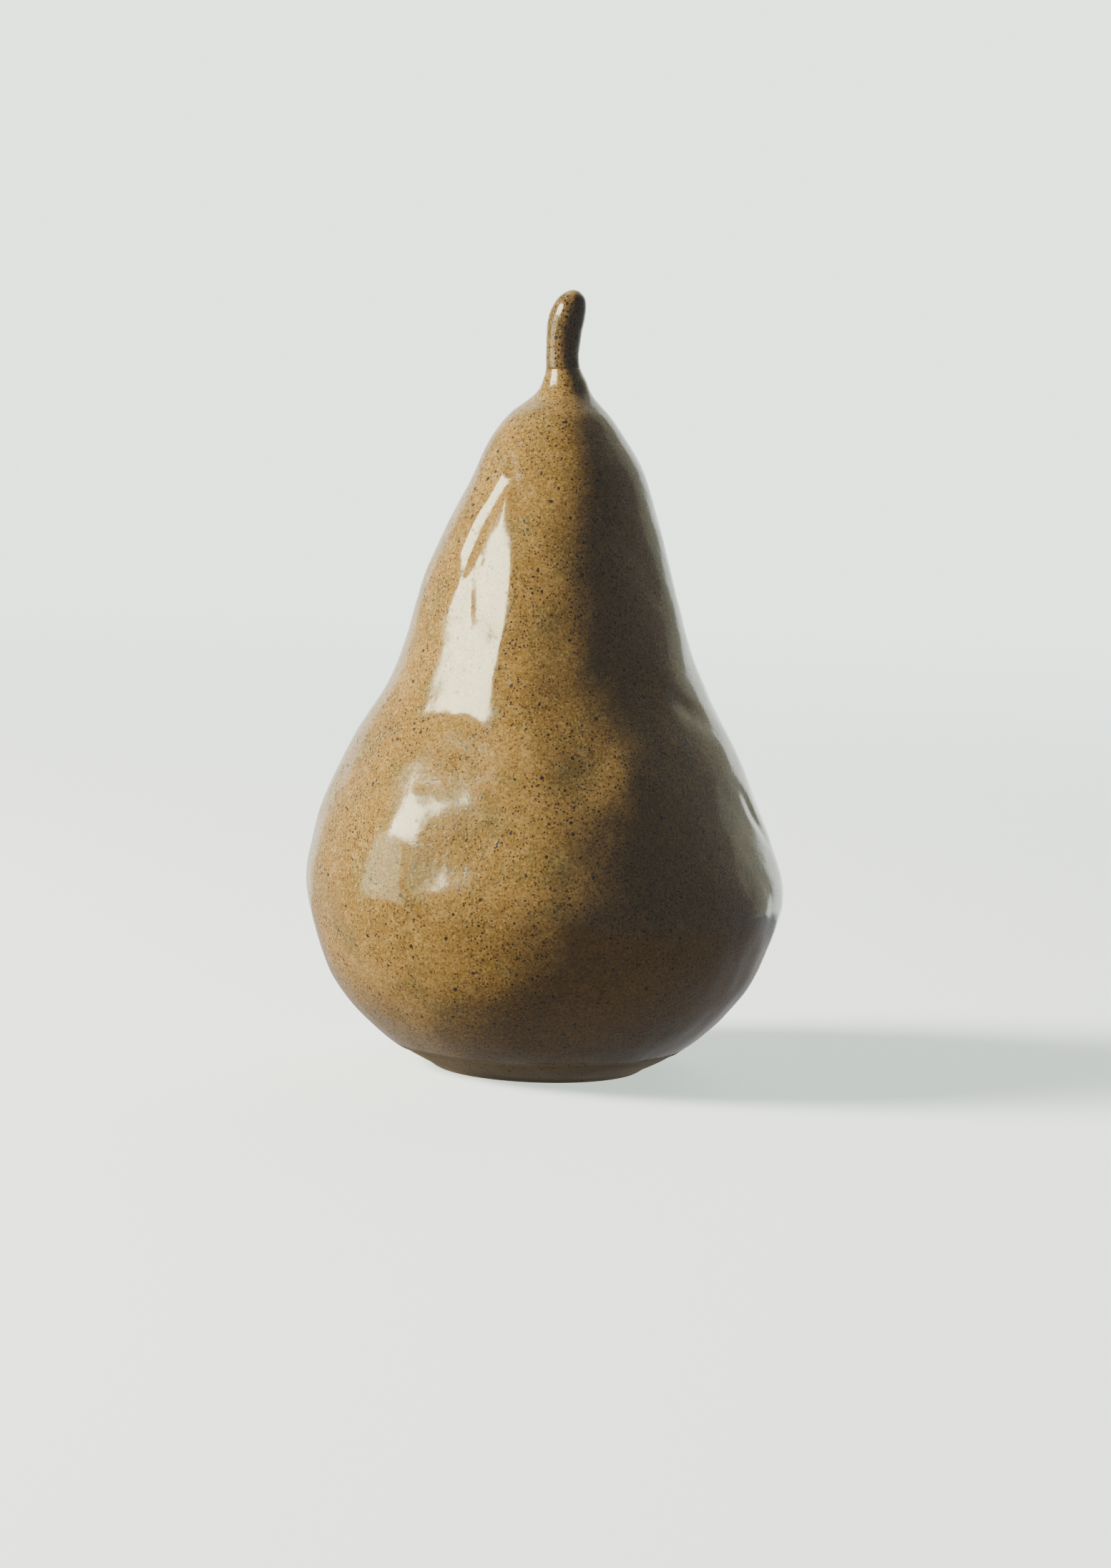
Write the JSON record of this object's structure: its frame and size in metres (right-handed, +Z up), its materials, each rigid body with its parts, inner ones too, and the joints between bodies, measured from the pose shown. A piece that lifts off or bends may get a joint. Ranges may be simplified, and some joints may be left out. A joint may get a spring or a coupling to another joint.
{
  "type": "glazed ceramic pear",
  "caption": "Life-size stoneware pear ornament with a glossy speckled ochre glaze, a rolled clay stem and a small flat bare-clay foot.",
  "frame": {"origin": "middle of the flat foot that the pear stands on", "axes": "+Z up from the foot to the stem, -Y out of the front that faces the viewer, +X to the viewer's right"},
  "size_m": [0.085, 0.0847, 0.1378],
  "materials": {
    "speckled_glaze": "gloss",
    "stem_glaze": "gloss"
  },
  "bodies": {
    "root": {"pear_body": "speckled_glaze", "stem": "stem_glaze"}
  },
  "joints": []
}
